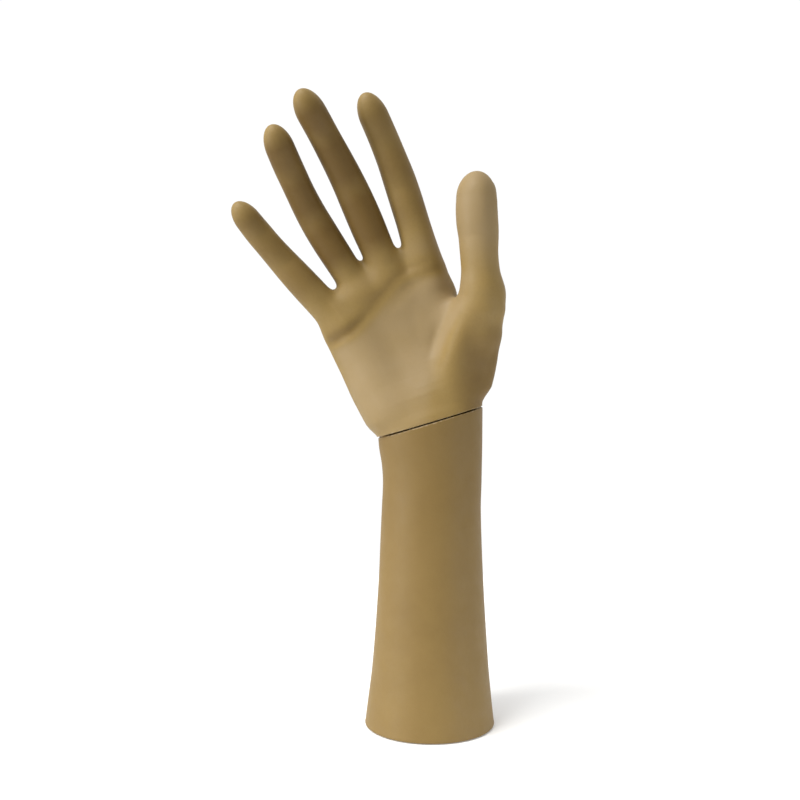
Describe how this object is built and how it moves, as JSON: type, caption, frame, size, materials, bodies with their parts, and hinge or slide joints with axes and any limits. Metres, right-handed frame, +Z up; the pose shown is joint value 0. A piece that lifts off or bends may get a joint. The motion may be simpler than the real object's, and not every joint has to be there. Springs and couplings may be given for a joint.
{
  "type": "hand mannequin",
  "caption": "Open right hand with spread fingers on a flared standing forearm; the hand swivels and pulls off at a slanted wrist cut, for showing gloves, rings and bracelets.",
  "frame": {"origin": "centre of the base's standing face, on the surface it stands on", "axes": "+Z up along the forearm, palm facing -Y, thumb on the +X side"},
  "size_m": [0.1473, 0.0772, 0.3445],
  "materials": {
    "skin_paint": "tan sprayed paint, satin to matt",
    "plywood": "raw, sanded",
    "zinc_steel": "zinc plated",
    "nylon": "natural, turned",
    "rubber": "matt",
    "red_fibre": "matt pressed fibre",
    "cast_iron": "as cast"
  },
  "bodies": {
    "forearm": {"forearm_shell": "skin_paint", "base_plate": "plywood", "base_ring": "plywood", "base_screw_1": "zinc_steel", "base_screw_2": "zinc_steel", "base_screw_3": "zinc_steel", "ballast_weight": "cast_iron", "ballast_washer": "zinc_steel", "ballast_screw": "zinc_steel", "forearm_wrist_board": "plywood", "wrist_socket": "zinc_steel", "socket_screw_1": "zinc_steel", "socket_screw_2": "zinc_steel", "socket_screw_3": "zinc_steel"},
    "plug": {"swivel_plug": "nylon", "plug_o_ring": "rubber", "friction_washer": "red_fibre"},
    "hand": {"hand_shell": "skin_paint", "hand_wrist_board": "plywood", "hand_flange": "zinc_steel", "hand_screw_1": "zinc_steel", "hand_screw_2": "zinc_steel", "hand_screw_3": "zinc_steel", "pivot_bolt": "zinc_steel", "spring_washer": "zinc_steel", "lock_nut": "zinc_steel"}
  },
  "joints": [
    {"name": "wrist_pull", "type": "slide", "parent": "forearm", "child": "plug", "axis": [-0.2857, 0, 0.9583], "range_m": [0, 0.05]},
    {"name": "wrist_turn", "type": "hinge", "parent": "plug", "child": "hand", "pos_m": [0.0003, 0, 0.1675], "axis": [-0.2857, 0, 0.9583], "continuous": true}
  ]
}
